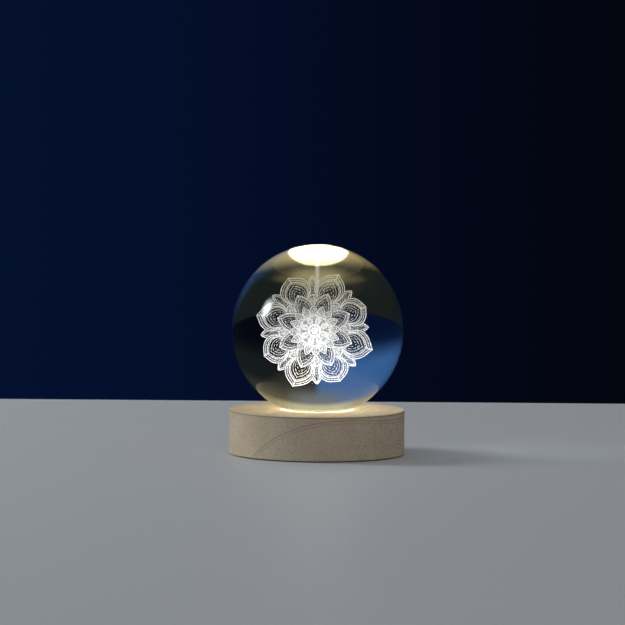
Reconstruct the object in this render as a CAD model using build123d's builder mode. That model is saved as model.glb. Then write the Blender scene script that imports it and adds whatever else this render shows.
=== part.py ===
from build123d import *
import os
from math import cos, radians, sin, sqrt

os.makedirs("parts", exist_ok=True)

# Crystal ball lamp: a clear glass ball, engraved inside with a layered rosette, stands on a
# turned beech base that lights it from below. Millimetres. +Z is up, the rosette faces -Y,
# and the origin is on the table, under the middle of the ball.

# One overrun for every cut that goes through a face
overrun = 1.0

# Glass ball
ball_radius = 40.0
seat_radius = 15.9  # where the ball meets its ring
seat_gap = 0.1

# Rosette, engraved in flat layers about an upright plane through the ball
rosette_shift = -1.0  # the engraving sits a little to the left of the middle
rosette_turn = 3.5  # degrees, counter-clockwise as seen from the front
line_width = 0.26
engraving_depth = 0.25
layer_step = 0.6  # from one layer of petals to the next
layer_clear = 0.12  # between a petal's edge and the lines that it hides
petal_count = 8
outer_root = 8.6
outer_tip = 18.9
outer_half_width = 4.6
between_root = 9.4
between_tip = 16.7
between_half_width = 1.2
leaf_root = 6.6
leaf_tip = 11.2
leaf_half_width = 1.75
middle_root = 4.0
middle_tip = 12.2
middle_half_width = 2.7
inner_root = 3.9
inner_tip = 7.6
inner_half_width = 1.2
heart_radius = 4.75
heart_ring_radius = 2.35
heart_ring_width = 0.5
heart_eye_radius = 1.05
heart_dot_radius = 0.35
bud_tip = 4.35
bud_half_width = 0.8

# Turned wooden base
base_radius = 40.7
base_edge = 0.5
foot_height = 0.4  # the wood's height above the table
recess_radius = 17.2
recess_chamfer = 0.3
recess_depth = 8.0  # from the wood's top to the diffuser
web_thickness = 8.5  # wood above the cavity
cavity_wall_thickness = 8.7
rebate_wall_thickness = 3.7

# Seat ring
ring_lip = 0.6  # reaches this far in from where the ball meets it
ring_height = 2.2
ring_sink = 0.1
ring_gap = 0.12

# Light cup and diffuser
cup_fit = 0.05
cup_wall = 1.5
ledge_width = 1.5
ledge_thickness = 1.0
diffuser_thickness = 2.0
diffuser_fit = 0.05
flange_width = 5.8
flange_thickness = 1.2
boss_radius = 2.0
boss_gap = 0.2

# Lamp board
board_thickness = 1.0
board_margin = 2.0  # board outside its screws
led_count = 6
led_ring_radius = 8.5
led_length = 3.5
led_width = 2.8
led_height = 0.8
led_edge = 0.2
led_gap = 1.4  # from the board to the cup's ledge
resistor_count = 3
resistor_ring_radius = 3.0
resistor_length = 2.0
resistor_width = 1.25
resistor_height = 0.6

# Battery
battery_width = 30.0
battery_length = 40.0
battery_thickness = 3.0
battery_corner = 1.0
battery_side_gap = 1.0
tape_width = 20.0
tape_length = 30.0
tape_thickness = 0.3
battery_headroom = 0.3

# Bottom plate and foot pad
pad_thickness = 1.0
pad_gap = 0.2
plate_thickness = 2.0
plate_gap = 0.15
plate_edge = 0.2

# Small pan-head screws for the boards and the cup
head_radius = 1.9
head_height = 0.9
head_edge = 0.3
shank_radius = 0.95
shank_length = 3.6
cup_screw_length = 5.0
cross_length = 1.8
cross_width = 0.45
cross_depth = 0.45
pilot_gap = 0.05
hole_gap = 0.2
pilot_spare = 0.5  # a blind hole is this much deeper than its screw
cup_screw_count = 3
boss_turn = 90.0
cup_screw_turn = 30.0

# Countersunk screws of the bottom plate
plate_screw_count = 3
plate_screw_turn = 30.0
plate_head_radius = 2.0
plate_head_height = 1.1
plate_shank_radius = 1.1
plate_screw_length = 8.0

# Control board, charging socket and their window in the back of the base
port_height = 8.0  # middle of the socket above the table
window_width = 24.8
window_height = 6.8
pocket_width = 27.0
pocket_height = 8.4
pocket_corner = 1.5
bezel_thickness = 1.4
bezel_sink = 0.2
bezel_gap = 0.2
bezel_edge = 0.25
control_width = 24.0
control_gap = 0.15  # seen from above, between the control board and the lamp board
control_setback = 0.3  # from the bezel's back to the board
post_radius = 2.0
post_inset = 2.5
socket_x = -5.0
socket_width = 8.94
socket_height = 3.2
socket_length = 7.35
socket_wall = 0.3
socket_back_wall = 0.8
socket_sink = 0.2
socket_hole_gap = 0.2
tongue_width = 6.7
tongue_height = 0.7
tongue_setback = 0.6
chip_width = 5.0
chip_length = 4.0
chip_height = 1.5
small_part_width = 1.6
small_part_length = 0.9
small_part_height = 0.6

# Power button and its switch
button_x = 7.0
button_travel = 1.0
button_radius = 1.9
button_gap = 0.15
button_edge = 0.35
button_proud = 1.3
button_flange = 0.35  # wider than the button, all round
button_flange_thickness = 1.0
button_flange_gap = 0.05
stem_radius = 0.9
stem_gap = 0.15
stem_engagement = 2.2  # stem inside the switch at rest
switch_width = 6.0
switch_depth = 5.0
switch_height = 4.8
spring_room = 2.2
spring_radius = 1.35  # to the middle of the wire
spring_wire = 0.15
spring_turns = 3
spring_end_gap = 0.05

# Leads
lead_radius = 0.4
lead_bend = 0.8
lamp_lead_spread = 6.2
lamp_lead_inset = 4.5  # from the lamp board's edge
battery_lead_spread = 2.4
battery_lead_run = 2.4  # straight out of the battery
lead_rise = 1.0  # height of the leads' runs above the bottom plate
lead_landing = 6.0  # how far under the control board the leads reach

# Petal outlines, as shares of a petal's half width and length: half width at the root,
# the widest point's place, the shoulder across and along, and how nested lines close in
# on the tip. The lean is the edge's slope across where it ends at the tip.
pointed_shares = {"root": 0.35, "belly": 0.50, "across": 0.66, "along": 0.82, "nest": 1.7}
pointed_lean_share = 0.65
rounded_shares = {"root": 0.50, "belly": 0.55, "across": 0.72, "along": 0.88, "nest": 1.0}
rounded_lean_share = 4.0

# Places of nested lines inside a petal, as shares of its half width
outer_inset_shares = [0, 0.19, 0.38, 0.57]
between_inset_shares = [0, 0.45]
middle_inset_shares = [0, 0.28, 0.56]
inner_inset_shares = [0]

# Small parts on the control board, as shares of its width and length
small_part_shares = [
    (-0.34, 0.40),
    (-0.24, 0.40),
    (-0.15, 0.40),
    (-0.20, 0.24),
    (0.22, 0.26),
    (0.30, 0.40),
]

# Heights above the table: the stack inside the base sets how tall the wood is
plate_bottom = pad_thickness
plate_top = plate_bottom + plate_thickness
battery_bottom = plate_top + tape_thickness
battery_top = battery_bottom + battery_thickness
lamp_board_bottom = battery_top + battery_headroom + head_height
lamp_board_top = lamp_board_bottom + board_thickness
cup_bottom = lamp_board_top + led_gap
ledge_top = cup_bottom + ledge_thickness
recess_floor = ledge_top + diffuser_thickness
wood_top = recess_floor + recess_depth
wood_bottom = foot_height
ceiling = wood_top - web_thickness
flange_bottom = ceiling - flange_thickness
ring_top = wood_top - ring_sink
ring_bottom = ring_top - ring_height
cup_top = ring_bottom - ring_gap
ball_centre = ring_top + sqrt((ball_radius + seat_gap) ** 2 - seat_radius**2)
control_top = port_height - socket_height / 2
control_bottom = control_top - board_thickness
button_height = control_top + switch_height / 2
lead_height = plate_top + lead_rise

# Radii and screw circles
cavity_radius = base_radius - cavity_wall_thickness
rebate_radius = base_radius - rebate_wall_thickness
ring_outer = recess_radius - ring_gap
ring_inner = seat_radius - ring_lip
cup_radius = recess_radius - cup_fit
cup_bore = cup_radius - cup_wall
flange_radius = cup_radius + flange_width
boss_circle = cup_radius + boss_gap + boss_radius
lamp_board_radius = boss_circle + board_margin
cup_screw_circle = (cup_radius + flange_radius) / 2
plate_screw_circle = (cavity_radius + rebate_radius) / 2
pilot_radius = shank_radius + pilot_gap
hole_radius = shank_radius + hole_gap
plate_pilot_radius = plate_shank_radius + pilot_gap

# Distances behind the middle, along +Y
bezel_face = sqrt(base_radius**2 - (pocket_width / 2) ** 2) - bezel_sink
bezel_back = bezel_face - bezel_thickness
control_back = bezel_back - control_setback
control_front = lamp_board_radius + control_gap
control_length = control_back - control_front
socket_mouth = bezel_face - socket_sink
socket_back = socket_mouth - socket_length
button_flange_face = bezel_back - button_flange_gap
stem_root = button_flange_face - button_flange_thickness
switch_face = stem_root - spring_room
switch_back = switch_face - switch_depth
stem_end = switch_face - stem_engagement
post_y = control_front + post_inset
post_x = control_width / 2 - post_inset
lead_end = control_front + lead_landing
battery_front = -(sqrt(cavity_radius**2 - (battery_width / 2) ** 2) - battery_side_gap)
battery_back = battery_front + battery_length
battery_middle = (battery_front + battery_back) / 2

# The back of the lamp, seen from behind: its own X runs to world -X, and its Y runs up
rear = Plane(origin=(0, 0, 0), x_dir=(-1, 0, 0), z_dir=(0, 1, 0))


def behind(x, z):
    """A world X and Z as a place on the rear plane."""
    return (-x, z)


def places_on(circle, count, turn):
    """Places spread evenly on a circle about the middle."""
    angles = [radians(turn + 360 * k / count) for k in range(count)]
    return [(circle * cos(angle), circle * sin(angle)) for angle in angles]


boss_places = places_on(boss_circle, cup_screw_count, boss_turn)
cup_screw_places = places_on(cup_screw_circle, cup_screw_count, cup_screw_turn)
plate_screw_places = places_on(plate_screw_circle, plate_screw_count, plate_screw_turn)
post_places = [(-post_x, post_y), (post_x, post_y)]


def pan_head_screws(places, seat, way, length):
    """Screws whose heads bear on a level seat. Way is 1 for shanks that point up, or -1."""
    with BuildPart() as screws:
        with BuildSketch(Plane.XY.offset(seat)):
            with Locations(*places):
                Circle(head_radius)
        extrude(amount=-way * head_height)
        outer_rims = screws.edges().group_by(Axis.Z)[0 if way > 0 else -1]
        fillet(outer_rims, head_edge)
        with BuildSketch(Plane.XY.offset(seat)):
            with Locations(*places):
                Circle(shank_radius)
        extrude(amount=way * length)
        with BuildSketch(Plane.XY.offset(seat - way * head_height)):
            with Locations(*places):
                Rectangle(cross_length, cross_width)
                Rectangle(cross_width, cross_length)
        extrude(amount=way * cross_depth, mode=Mode.SUBTRACT)
    return screws


def lead(*points):
    """A lead of straight runs and bends, soldered at both ends."""
    bends = [lead_bend] * (len(points) - 2)
    with BuildPart() as wire:
        with BuildLine() as route:
            FilletPolyline(*points, radius=bends)
        with BuildSketch(Plane(origin=route.line @ 0, z_dir=route.line % 0)):
            Circle(lead_radius)
        sweep()
    return wire


# Wooden base
with BuildPart() as wooden_base:
    with BuildSketch(Plane.XY.offset(wood_bottom)):
        Circle(base_radius)
    extrude(amount=wood_top - wood_bottom)
    fillet(wooden_base.edges().filter_by(GeomType.CIRCLE), base_edge)
    with BuildSketch(Plane.XY.offset(ceiling)):
        Circle(recess_radius)
    extrude(amount=web_thickness + overrun, mode=Mode.SUBTRACT)
    rims = wooden_base.edges().filter_by(GeomType.CIRCLE).group_by(Axis.Z)[-1]
    chamfer(rims.sort_by(SortBy.RADIUS)[0], recess_chamfer)
    with BuildSketch(Plane.XY.offset(plate_top)):
        Circle(cavity_radius)
    extrude(amount=ceiling - plate_top, mode=Mode.SUBTRACT)
    with BuildSketch(Plane.XY.offset(plate_top)):
        Circle(rebate_radius)
    extrude(amount=-(plate_top + overrun), mode=Mode.SUBTRACT)
    with BuildSketch(Plane.XY.offset(plate_top)):
        with Locations(*plate_screw_places):
            Circle(plate_pilot_radius)
    extrude(amount=plate_screw_length - plate_thickness + pilot_spare, mode=Mode.SUBTRACT)
    with BuildSketch(Plane.XY.offset(ceiling)):
        with Locations(*cup_screw_places):
            Circle(pilot_radius)
    extrude(amount=cup_screw_length - flange_thickness + pilot_spare, mode=Mode.SUBTRACT)
    with BuildSketch(rear.offset(bezel_back)):
        with Locations(behind(0, port_height)):
            RectangleRounded(pocket_width, pocket_height, pocket_corner)
    extrude(amount=base_radius, mode=Mode.SUBTRACT)
    with BuildSketch(rear.offset(bezel_back)):
        with Locations(behind(0, port_height)):
            Rectangle(window_width, window_height)
    extrude(amount=post_y - bezel_back, mode=Mode.SUBTRACT)
wooden_base.part.label = "wooden_base"
export_step(wooden_base.part, "parts/wooden_base.step")

# Foot pad, a foam disc that hides the bottom plate and its screws
with BuildPart() as foot_pad:
    with BuildSketch(Plane.XY):
        Circle(rebate_radius - pad_gap)
    extrude(amount=pad_thickness)
foot_pad.part.label = "foot_pad"
export_step(foot_pad.part, "parts/foot_pad.step")

# Bottom plate, with two posts for the control board
with BuildPart() as bottom_plate:
    with BuildSketch(Plane.XY.offset(plate_bottom)):
        Circle(rebate_radius - plate_gap)
    extrude(amount=plate_thickness)
    chamfer(bottom_plate.edges().filter_by(GeomType.CIRCLE).group_by(Axis.Z)[0], plate_edge)
    with BuildSketch(Plane.XY.offset(plate_top)):
        with Locations(*post_places):
            Circle(post_radius)
    extrude(amount=control_bottom - plate_top)
    with BuildSketch(Plane.XY.offset(control_bottom)):
        with Locations(*post_places):
            Circle(pilot_radius)
    extrude(amount=-(shank_length - board_thickness + pilot_spare), mode=Mode.SUBTRACT)
    with BuildSketch(Plane.XY.offset(plate_bottom)):
        with Locations(*plate_screw_places):
            Circle(plate_pilot_radius)
    extrude(amount=plate_thickness, mode=Mode.SUBTRACT)
    with Locations(*[(x, y, plate_bottom) for x, y in plate_screw_places]):
        Cone(
            plate_head_radius + pilot_gap,
            plate_pilot_radius,
            plate_head_height,
            align=(Align.CENTER, Align.CENTER, Align.MIN),
            mode=Mode.SUBTRACT,
        )
bottom_plate.part.label = "bottom_plate"
export_step(bottom_plate.part, "parts/bottom_plate.step")

# Countersunk screws of the bottom plate
with BuildPart() as bottom_plate_screws:
    with Locations(*[(x, y, plate_bottom) for x, y in plate_screw_places]):
        Cone(
            plate_head_radius,
            plate_shank_radius,
            plate_head_height,
            align=(Align.CENTER, Align.CENTER, Align.MIN),
        )
    with BuildSketch(Plane.XY.offset(plate_bottom + plate_head_height)):
        with Locations(*plate_screw_places):
            Circle(plate_shank_radius)
    extrude(amount=plate_screw_length - plate_head_height)
    with BuildSketch(Plane.XY.offset(plate_bottom)):
        with Locations(*plate_screw_places):
            Rectangle(cross_length, cross_width)
            Rectangle(cross_width, cross_length)
    extrude(amount=cross_depth, mode=Mode.SUBTRACT)
bottom_plate_screws.part.label = "bottom_plate_screws"
export_step(bottom_plate_screws.part, "parts/bottom_plate_screws.step")

# Light cup: a white tube that lines the recess, with a flange under the wood
with BuildPart() as light_cup:
    with BuildSketch(Plane.XY.offset(cup_bottom)):
        Circle(cup_radius)
    extrude(amount=cup_top - cup_bottom)
    with BuildSketch(Plane.XY.offset(flange_bottom)):
        Circle(flange_radius)
    extrude(amount=flange_thickness)
    with BuildSketch(Plane.XY.offset(lamp_board_top)):
        with Locations(*boss_places):
            Circle(boss_radius)
    extrude(amount=flange_bottom - lamp_board_top)
    with BuildSketch(Plane.XY.offset(lamp_board_top)):
        with Locations(*boss_places):
            Circle(pilot_radius)
    extrude(amount=shank_length - board_thickness + pilot_spare, mode=Mode.SUBTRACT)
    with BuildSketch(Plane.XY.offset(flange_bottom)):
        with Locations(*cup_screw_places):
            Circle(hole_radius)
    extrude(amount=flange_thickness, mode=Mode.SUBTRACT)
    with BuildSketch(Plane.XY.offset(ledge_top)):
        Circle(cup_bore)
    extrude(amount=cup_top - ledge_top, mode=Mode.SUBTRACT)
    with BuildSketch(Plane.XY.offset(cup_bottom)):
        Circle(cup_bore - ledge_width)
    extrude(amount=ledge_thickness, mode=Mode.SUBTRACT)
light_cup.part.label = "light_cup"
export_step(light_cup.part, "parts/light_cup.step")

light_cup_screws = pan_head_screws(cup_screw_places, flange_bottom, 1, cup_screw_length)
light_cup_screws.part.label = "light_cup_screws"
export_step(light_cup_screws.part, "parts/light_cup_screws.step")

# Diffuser
with BuildPart() as diffuser_disc:
    with BuildSketch(Plane.XY.offset(ledge_top)):
        Circle(cup_bore - diffuser_fit)
    extrude(amount=diffuser_thickness)
diffuser_disc.part.label = "diffuser_disc"
export_step(diffuser_disc.part, "parts/diffuser_disc.step")

# Seat ring: a clear soft ring, its top hollowed to the ball's own curve
with BuildPart() as seat_ring:
    with BuildSketch(Plane.XY.offset(ring_bottom)):
        Circle(ring_outer)
        Circle(ring_inner, mode=Mode.SUBTRACT)
    extrude(amount=ring_height)
    with Locations((0, 0, ball_centre)):
        Sphere(ball_radius + seat_gap, mode=Mode.SUBTRACT)
seat_ring.part.label = "seat_ring"
export_step(seat_ring.part, "parts/seat_ring.step")

# Lamp board with its light sources and resistors
with BuildPart() as lamp_board:
    with BuildSketch(Plane.XY.offset(lamp_board_bottom)):
        Circle(lamp_board_radius)
        with Locations(*boss_places):
            Circle(hole_radius, mode=Mode.SUBTRACT)
    extrude(amount=board_thickness)
lamp_board.part.label = "lamp_board"
export_step(lamp_board.part, "parts/lamp_board.step")

lamp_board_screws = pan_head_screws(boss_places, lamp_board_bottom, 1, shank_length)
lamp_board_screws.part.label = "lamp_board_screws"
export_step(lamp_board_screws.part, "parts/lamp_board_screws.step")

with BuildPart() as lamp_leds:
    with BuildSketch(Plane.XY.offset(lamp_board_top)):
        with PolarLocations(led_ring_radius, led_count):
            Rectangle(led_width, led_length)
    extrude(amount=led_height)
    chamfer(lamp_leds.edges().group_by(Axis.Z)[-1], led_edge)
lamp_leds.part.label = "lamp_leds"
export_step(lamp_leds.part, "parts/lamp_leds.step")

with BuildPart() as lamp_resistors:
    with BuildSketch(Plane.XY.offset(lamp_board_top)):
        with PolarLocations(resistor_ring_radius, resistor_count):
            Rectangle(resistor_width, resistor_length)
    extrude(amount=resistor_height)
lamp_resistors.part.label = "lamp_resistors"
export_step(lamp_resistors.part, "parts/lamp_resistors.step")

# Battery on its sticky pad
with BuildPart() as battery_tape:
    with BuildSketch(Plane.XY.offset(plate_top)):
        with Locations((0, battery_middle)):
            Rectangle(tape_width, tape_length)
    extrude(amount=tape_thickness)
battery_tape.part.label = "battery_tape"
export_step(battery_tape.part, "parts/battery_tape.step")

with BuildPart() as battery:
    with BuildSketch(Plane.XY.offset(battery_bottom)):
        with Locations((0, battery_middle)):
            Rectangle(battery_width, battery_length)
    extrude(amount=battery_thickness)
    fillet(battery.edges().filter_by(Axis.Y), battery_corner)
battery.part.label = "battery"
export_step(battery.part, "parts/battery.step")

# Control board on the bottom plate's posts
with BuildPart() as control_board:
    with BuildSketch(Plane.XY.offset(control_bottom)):
        with Locations((0, (control_front + control_back) / 2)):
            Rectangle(control_width, control_length)
        with Locations(*post_places):
            Circle(hole_radius, mode=Mode.SUBTRACT)
    extrude(amount=board_thickness)
control_board.part.label = "control_board"
export_step(control_board.part, "parts/control_board.step")

control_board_screws = pan_head_screws(post_places, control_top, -1, shank_length)
control_board_screws.part.label = "control_board_screws"
export_step(control_board_screws.part, "parts/control_board_screws.step")

with BuildPart() as charge_chip:
    with BuildSketch(Plane.XY.offset(control_top)):
        with Locations(((socket_x + button_x) / 2, (post_y + switch_back) / 2)):
            Rectangle(chip_width, chip_length)
    extrude(amount=chip_height)
charge_chip.part.label = "charge_chip"
export_step(charge_chip.part, "parts/charge_chip.step")

with BuildPart() as control_board_parts:
    with BuildSketch(Plane.XY.offset(control_top)):
        for across_share, along_share in small_part_shares:
            x = across_share * control_width
            y = control_front + along_share * control_length
            with Locations((x, y)):
                Rectangle(small_part_width, small_part_length)
    extrude(amount=small_part_height)
control_board_parts.part.label = "control_board_parts"
export_step(control_board_parts.part, "parts/control_board_parts.step")

# Charging socket: a steel shell round a flat tongue
with BuildPart() as socket_shell:
    with BuildSketch(rear.offset(socket_back)):
        with Locations(behind(socket_x, port_height)):
            SlotOverall(socket_width, socket_height)
    extrude(amount=socket_length)
    with BuildSketch(rear.offset(socket_back + socket_back_wall)):
        with Locations(behind(socket_x, port_height)):
            SlotOverall(socket_width - 2 * socket_wall, socket_height - 2 * socket_wall)
    extrude(amount=socket_length, mode=Mode.SUBTRACT)
socket_shell.part.label = "socket_shell"
export_step(socket_shell.part, "parts/socket_shell.step")

with BuildPart() as socket_tongue:
    with BuildSketch(rear.offset(socket_back + socket_back_wall)):
        with Locations(behind(socket_x, port_height)):
            Rectangle(tongue_width, tongue_height)
    extrude(amount=socket_length - socket_back_wall - tongue_setback)
socket_tongue.part.label = "socket_tongue"
export_step(socket_tongue.part, "parts/socket_tongue.step")

# Bezel that closes the window round the socket and the button
with BuildPart() as port_bezel:
    with BuildSketch(rear.offset(bezel_back)):
        with Locations(behind(0, port_height)):
            RectangleRounded(
                pocket_width - 2 * bezel_gap,
                pocket_height - 2 * bezel_gap,
                pocket_corner - bezel_gap,
            )
    extrude(amount=bezel_thickness)
    chamfer(port_bezel.edges().group_by(Axis.Y)[-1], bezel_edge)
    with BuildSketch(rear.offset(bezel_back)):
        with Locations(behind(socket_x, port_height)):
            SlotOverall(socket_width + 2 * socket_hole_gap, socket_height + 2 * socket_hole_gap)
        with Locations(behind(button_x, button_height)):
            Circle(button_radius + button_gap)
    extrude(amount=bezel_thickness, mode=Mode.SUBTRACT)
port_bezel.part.label = "port_bezel"
export_step(port_bezel.part, "parts/port_bezel.step")

# Switch, its return spring and the power button, whose stem slides in the switch
with BuildPart() as switch_housing:
    with BuildSketch(rear.offset(switch_back)):
        with Locations(behind(button_x, button_height)):
            Rectangle(switch_width, switch_height)
    extrude(amount=switch_depth)
    with BuildSketch(rear.offset(switch_face)):
        with Locations(behind(button_x, button_height)):
            Circle(stem_radius + stem_gap)
    extrude(amount=-(stem_engagement + button_travel + stem_gap), mode=Mode.SUBTRACT)
switch_housing.part.label = "switch_housing"
export_step(switch_housing.part, "parts/switch_housing.step")

spring_length = spring_room - 2 * (spring_end_gap + spring_wire)
spring_start = switch_face + spring_end_gap + spring_wire
with BuildPart() as switch_spring:
    with BuildLine() as coil:
        Helix(
            pitch=spring_length / spring_turns,
            height=spring_length,
            radius=spring_radius,
            center=(button_x, spring_start, button_height),
            direction=(0, 1, 0),
        )
    with BuildSketch(Plane(origin=coil.line @ 0, z_dir=coil.line % 0)):
        Circle(spring_wire)
    sweep(is_frenet=True)
switch_spring.part.label = "switch_spring"
export_step(switch_spring.part, "parts/switch_spring.step")

with BuildPart() as power_button:
    with BuildSketch(rear.offset(stem_root)):
        with Locations(behind(button_x, button_height)):
            Circle(button_radius)
    extrude(amount=bezel_face + button_proud - stem_root)
    fillet(power_button.edges().group_by(Axis.Y)[-1], button_edge)
    with BuildSketch(rear.offset(stem_root)):
        with Locations(behind(button_x, button_height)):
            Circle(button_radius + button_flange)
    extrude(amount=button_flange_thickness)
    with BuildSketch(rear.offset(stem_root)):
        with Locations(behind(button_x, button_height)):
            Circle(stem_radius)
    extrude(amount=stem_end - stem_root)
power_button.part.label = "power_button"
export_step(power_button.part, "parts/power_button.step")

# Leads from the control board to the lamp board and to the battery
lamp_lead_y = lamp_board_radius - lamp_lead_inset
battery_lead_height = (battery_bottom + battery_top) / 2
battery_lead_turn = battery_back + battery_lead_run


def lamp_lead(x):
    """A lead down from the lamp board, along the plate and up to the control board."""
    return lead(
        (x, lamp_lead_y, lamp_board_bottom),
        (x, lamp_lead_y, lead_height),
        (x, lead_end, lead_height),
        (x, lead_end, control_bottom),
    )


def battery_lead(x):
    """A lead out of the battery's end, down to the plate and up to the control board."""
    return lead(
        (x, battery_back, battery_lead_height),
        (x, battery_lead_turn, battery_lead_height),
        (x, battery_lead_turn + battery_lead_run, lead_height),
        (x, lead_end, lead_height),
        (x, lead_end, control_bottom),
    )


positive_lamp_lead = lamp_lead(lamp_lead_spread)
positive_lamp_lead.part.label = "positive_lamp_lead"
export_step(positive_lamp_lead.part, "parts/positive_lamp_lead.step")

negative_lamp_lead = lamp_lead(-lamp_lead_spread)
negative_lamp_lead.part.label = "negative_lamp_lead"
export_step(negative_lamp_lead.part, "parts/negative_lamp_lead.step")

positive_battery_lead = battery_lead(battery_lead_spread)
positive_battery_lead.part.label = "positive_battery_lead"
export_step(positive_battery_lead.part, "parts/positive_battery_lead.step")

negative_battery_lead = battery_lead(-battery_lead_spread)
negative_battery_lead.part.label = "negative_battery_lead"
export_step(negative_battery_lead.part, "parts/negative_battery_lead.step")


def petal_face(size, shares, lean_share, inset):
    """A flat petal that points up from the rosette's middle, drawn inset from its edge."""
    root, tip, half_width = size
    side = half_width - inset
    top = tip - inset * shares["nest"]
    length = top - root
    root_place = (side * shares["root"], root)
    belly_place = (side, root + length * shares["belly"])
    shoulder_place = (side * shares["across"], root + length * shares["along"])
    with BuildSketch(Plane.XY) as petal:
        with BuildLine():
            Spline(
                root_place,
                belly_place,
                shoulder_place,
                (0, top),
                tangents=((1, 1), (-lean_share, 1)),
            )
            Line((0, root), root_place)
            mirror(about=Plane.YZ)
        make_face()
    return petal.sketch


def nested_faces(size, shares, lean_share, inset_shares):
    """A petal's nested lines: outer and inner edge of each, from the outside in."""
    faces = []
    for inset_share in inset_shares:
        inset = inset_share * size[-1]
        faces.append(petal_face(size, shares, lean_share, inset))
        faces.append(petal_face(size, shares, lean_share, inset + line_width))
    return faces


def layer_plane(layer):
    """The upright plane of a layer of petals, counted back from the middle one."""
    place = (rosette_shift, layer * layer_step, ball_centre)
    across = (cos(radians(rosette_turn)), 0, sin(radians(rosette_turn)))
    return Plane(origin=place, x_dir=across, z_dir=(0, -1, 0))


outer_size = (outer_root, outer_tip, outer_half_width)
between_size = (between_root, between_tip, between_half_width)
leaf_size = (leaf_root, leaf_tip, leaf_half_width)
middle_size = (middle_root, middle_tip, middle_half_width)
inner_size = (inner_root, inner_tip, inner_half_width)
bud_size = (heart_ring_radius, bud_tip, bud_half_width)
half_turn = 180 / petal_count
pointed = (pointed_shares, pointed_lean_share)
rounded = (rounded_shares, rounded_lean_share)

# What each ring of petals hides of the ones behind it, a little wider than its petals
outer_cover = petal_face(outer_size, *pointed, -layer_clear)
leaf_cover = petal_face(leaf_size, *rounded, -layer_clear)
middle_cover = petal_face(middle_size, *pointed, -layer_clear)
inner_cover = petal_face(inner_size, *pointed, -layer_clear)


def visible_lines(faces, covers, hidden_radius):
    """One petal's lines, less what the petals in front hide. Each cover comes with its turn."""
    with BuildSketch(Plane.XY) as lines:
        for k, face in enumerate(faces):
            add(face, mode=Mode.SUBTRACT if k % 2 else Mode.ADD)
        for cover, turn in covers:
            with PolarLocations(0, petal_count, start_angle=turn):
                add(cover, mode=Mode.SUBTRACT)
        Circle(hidden_radius + layer_clear, mode=Mode.SUBTRACT)
    return lines.sketch


def rosette_layer(layer, petal, turns):
    """One engraved layer: a ring of like petals at each turn."""
    with BuildPart() as petals:
        with BuildSketch(layer_plane(layer)):
            for turn in turns:
                with PolarLocations(0, petal_count, start_angle=turn):
                    add(petal)
        extrude(amount=engraving_depth)
    return petals


# Turns are counted from each petal's own direction: 0 in line with it, or half a turn off
outer_lines = visible_lines(
    nested_faces(outer_size, *pointed, outer_inset_shares),
    [(leaf_cover, half_turn), (middle_cover, 0), (inner_cover, 0)],
    heart_radius,
)
between_lines = visible_lines(
    nested_faces(between_size, *rounded, between_inset_shares),
    [(outer_cover, half_turn)],
    leaf_tip,
)
leaf_lines = visible_lines(
    [petal_face(leaf_size, *rounded, 0)],
    [(middle_cover, half_turn), (inner_cover, 0), (inner_cover, half_turn)],
    heart_radius,
)
middle_lines = visible_lines(
    nested_faces(middle_size, *pointed, middle_inset_shares),
    [(inner_cover, 0), (inner_cover, half_turn)],
    heart_radius,
)
inner_lines = visible_lines(
    nested_faces(inner_size, *pointed, inner_inset_shares),
    [],
    heart_radius,
)

outer_petals = rosette_layer(2, outer_lines, [half_turn])
outer_petals.part.label = "outer_petals"
export_step(outer_petals.part, "parts/outer_petals.step")

between_petals = rosette_layer(3, between_lines, [0])
between_petals.part.label = "between_petals"
export_step(between_petals.part, "parts/between_petals.step")

soft_leaves = rosette_layer(1, leaf_lines, [0])
soft_leaves.part.label = "soft_leaves"
export_step(soft_leaves.part, "parts/soft_leaves.step")

middle_petals = rosette_layer(0, middle_lines, [half_turn])
middle_petals.part.label = "middle_petals"
export_step(middle_petals.part, "parts/middle_petals.step")

inner_petals = rosette_layer(-1, inner_lines, [0, half_turn])
inner_petals.part.label = "inner_petals"
export_step(inner_petals.part, "parts/inner_petals.step")

# Heart of the rosette: a rim, a ring of buds and the eye
bud_face = petal_face(bud_size, *rounded, 0)
with BuildPart() as rosette_heart:
    with BuildSketch(layer_plane(-2)):
        Circle(heart_radius)
        Circle(heart_radius - line_width, mode=Mode.SUBTRACT)
        with PolarLocations(0, petal_count, start_angle=half_turn):
            add(bud_face)
        Circle(heart_ring_radius)
        Circle(heart_ring_radius - heart_ring_width, mode=Mode.SUBTRACT)
        Circle(heart_eye_radius)
        Circle(heart_eye_radius - line_width, mode=Mode.SUBTRACT)
        Circle(heart_dot_radius)
    extrude(amount=engraving_depth)
rosette_heart.part.label = "rosette_heart"
export_step(rosette_heart.part, "parts/rosette_heart.step")

# Glass ball. The engraving lies inside its glass.
with BuildPart() as crystal_ball:
    with Locations((0, 0, ball_centre)):
        Sphere(ball_radius)
crystal_ball.part.label = "crystal_ball"
export_step(crystal_ball.part, "parts/crystal_ball.step")
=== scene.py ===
"""Looks of the crystal ball lamp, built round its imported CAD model.

A solid glass ball, engraved inside with a layered rosette, stands in a clear soft ring on a
turned beech base that lights it from below. Lengths are in metres, in the model's own frame:
+Z is up and the rosette faces -Y. The rosette alone is drawn in millimetres, like a plan.
"""

import logging
import math
from dataclasses import dataclass
from enum import Enum
from functools import partial, reduce

import bpy
import numpy as np
from mathutils import Matrix, Vector


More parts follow.
